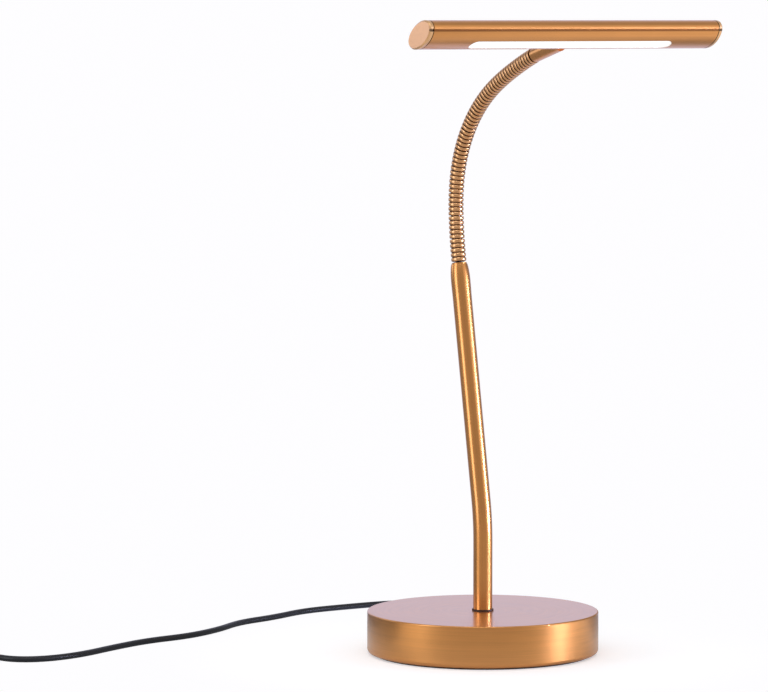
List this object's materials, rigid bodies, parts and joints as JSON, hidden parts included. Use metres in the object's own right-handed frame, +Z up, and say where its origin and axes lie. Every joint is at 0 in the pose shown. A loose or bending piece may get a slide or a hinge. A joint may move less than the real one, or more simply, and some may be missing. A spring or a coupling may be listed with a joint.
{
  "type": "piano lamp",
  "caption": "Gooseneck piano lamp: round weighted base, bent tubular pole, flexible ribbed neck and a slim tubular head with an LED window, on a corded rocker switch.",
  "frame": {"origin": "centre of the base's underside, where the lamp stands on its pad", "axes": "+Z up along the base's axis; -Y towards the player, the way the neck reaches; X along the head"},
  "size_m": [0.4658, 0.4124, 0.4098],
  "materials": {
    "gold_metal": "brushed and lacquered brass",
    "neck_metal": "polished brass plating",
    "cast_iron": "rough casting, hidden",
    "zinc_steel": "zinc plated",
    "bare_aluminium": "mill finish",
    "felt": "dark felt",
    "soft_ring": "dark soft ring",
    "dark_plastic": "fine spark-eroded black",
    "rocker_plastic": "glossy black",
    "pale_plastic": "natural nylon",
    "cord_jacket": "smooth black vinyl",
    "plug_rubber": "moulded black vinyl",
    "contact_brass": "bare brass",
    "opal_plastic": "opal diffuser, satin",
    "board": "white solder mask on aluminium",
    "chips": "yellow phosphor gel"
  },
  "bodies": {
    "base": {"base_shell": "gold_metal", "base_weight": "cast_iron", "base_plate": "zinc_steel", "plate_screws": "zinc_steel", "foot_pad": "felt", "pole_gasket": "soft_ring", "pole": "gold_metal", "pole_bush": "zinc_steel", "pole_nipple": "zinc_steel", "nipple_washer": "zinc_steel", "nipple_nut": "zinc_steel", "neck_foot_fitting": "gold_metal", "light_driver": "dark_plastic", "terminal_block": "pale_plastic", "supply_wires": "cord_jacket", "strain_relief": "cord_jacket", "cord_inside": "cord_jacket", "cord_clamp": "dark_plastic", "clamp_screws": "zinc_steel", "lamp_lead": "cord_jacket", "cord_lead": "cord_jacket", "cord_link": "cord_jacket", "cord_coil": "cord_jacket", "cord_tail": "cord_jacket", "switch_base": "dark_plastic", "switch_cover": "dark_plastic", "switch_contacts": "contact_brass", "switch_screws": "zinc_steel", "plug_body": "plug_rubber", "plug_blades": "contact_brass"},
    "neck_01": {"neck_link_01": "neck_metal"},
    "neck_02": {"neck_link_02": "neck_metal"},
    "neck_03": {"neck_link_03": "neck_metal"},
    "neck_04": {"neck_link_04": "neck_metal"},
    "neck_05": {"neck_link_05": "neck_metal"},
    "neck_06": {"neck_link_06": "neck_metal"},
    "neck_07": {"neck_link_07": "neck_metal"},
    "neck_08": {"neck_link_08": "neck_metal"},
    "neck_09": {"neck_link_09": "neck_metal"},
    "neck_10": {"neck_link_10": "neck_metal"},
    "neck_11": {"neck_link_11": "neck_metal"},
    "neck_12": {"neck_link_12": "neck_metal"},
    "head": {"neck_end_fitting": "gold_metal", "upper_shell": "gold_metal", "lower_shell": "gold_metal", "diffuser": "opal_plastic", "light_board": "board", "light_chips": "chips", "heat_spreader": "bare_aluminium", "board_screws": "zinc_steel", "neck_bracket": "zinc_steel", "bracket_screws": "zinc_steel", "spigot_clip": "zinc_steel", "end_cap_left": "gold_metal", "end_cap_right": "gold_metal"},
    "rocker": {"switch_rocker": "rocker_plastic"}
  },
  "joints": [
    {"name": "neck_fore_aft", "type": "hinge", "parent": "base", "child": "neck_01", "pos_m": [0, 0.02837, 0.2531], "axis": [1, 0, 0], "range_deg": [-7, 7], "deforming": ["lamp_lead"]},
    {"name": "neck_sideways", "type": "hinge", "parent": "neck_01", "child": "neck_02", "pos_m": [0, 0.0305, 0.26795], "axis": [0, 0.9932, -0.1162], "range_deg": [-7, 7], "deforming": ["lamp_lead"]},
    {"name": "neck_fore_aft_2", "type": "hinge", "parent": "neck_02", "child": "neck_03", "pos_m": [0, 0.03177, 0.28289], "axis": [1, 0, 0], "range_deg": [-7, 7], "deforming": ["lamp_lead"]},
    {"name": "neck_sideways_2", "type": "hinge", "parent": "neck_03", "child": "neck_04", "pos_m": [0, 0.03174, 0.29788], "axis": [0, 0.9983, 0.0581], "range_deg": [-7, 7], "deforming": ["lamp_lead"]},
    {"name": "neck_fore_aft_3", "type": "hinge", "parent": "neck_04", "child": "neck_05", "pos_m": [0, 0.02956, 0.3127], "axis": [1, 0, 0], "range_deg": [-7, 7], "deforming": ["lamp_lead"]},
    {"name": "neck_sideways_3", "type": "hinge", "parent": "neck_05", "child": "neck_06", "pos_m": [0, 0.02471, 0.32687], "axis": [0, 0.9112, 0.412], "range_deg": [-7, 7], "deforming": ["lamp_lead"]},
    {"name": "neck_fore_aft_4", "type": "hinge", "parent": "neck_06", "child": "neck_07", "pos_m": [0, 0.01733, 0.33991], "axis": [1, 0, 0], "range_deg": [-7, 7], "deforming": ["lamp_lead"]},
    {"name": "neck_sideways_4", "type": "hinge", "parent": "neck_07", "child": "neck_08", "pos_m": [0, 0.0078, 0.35147], "axis": [0, 0.7165, 0.6975], "range_deg": [-7, 7], "deforming": ["lamp_lead"]},
    {"name": "neck_fore_aft_5", "type": "hinge", "parent": "neck_08", "child": "neck_09", "pos_m": [0, -0.00347, 0.36135], "axis": [1, 0, 0], "range_deg": [-7, 7], "deforming": ["lamp_lead"]},
    {"name": "neck_sideways_5", "type": "hinge", "parent": "neck_09", "child": "neck_10", "pos_m": [0, -0.01606, 0.36948], "axis": [0, 0.4859, 0.874], "range_deg": [-7, 7], "deforming": ["lamp_lead"]},
    {"name": "neck_fore_aft_6", "type": "hinge", "parent": "neck_10", "child": "neck_11", "pos_m": [0, -0.02942, 0.37628], "axis": [1, 0, 0], "range_deg": [-7, 7], "deforming": ["lamp_lead"]},
    {"name": "neck_sideways_6", "type": "hinge", "parent": "neck_11", "child": "neck_12", "pos_m": [0, -0.04316, 0.38232], "axis": [0, 0.3838, 0.9234], "range_deg": [-7, 7], "deforming": ["lamp_lead"]},
    {"name": "neck_fore_aft_7", "type": "hinge", "parent": "neck_12", "child": "head", "pos_m": [0, -0.05715, 0.38771], "axis": [1, 0, 0], "range_deg": [-7, 7], "deforming": ["lamp_lead"]},
    {"name": "switch_rocker_tilt", "type": "hinge", "parent": "base", "child": "rocker", "pos_m": [-0.287, 0.204, 0.0125], "axis": [1, 0, 0], "range_deg": [-18, 0]}
  ]
}
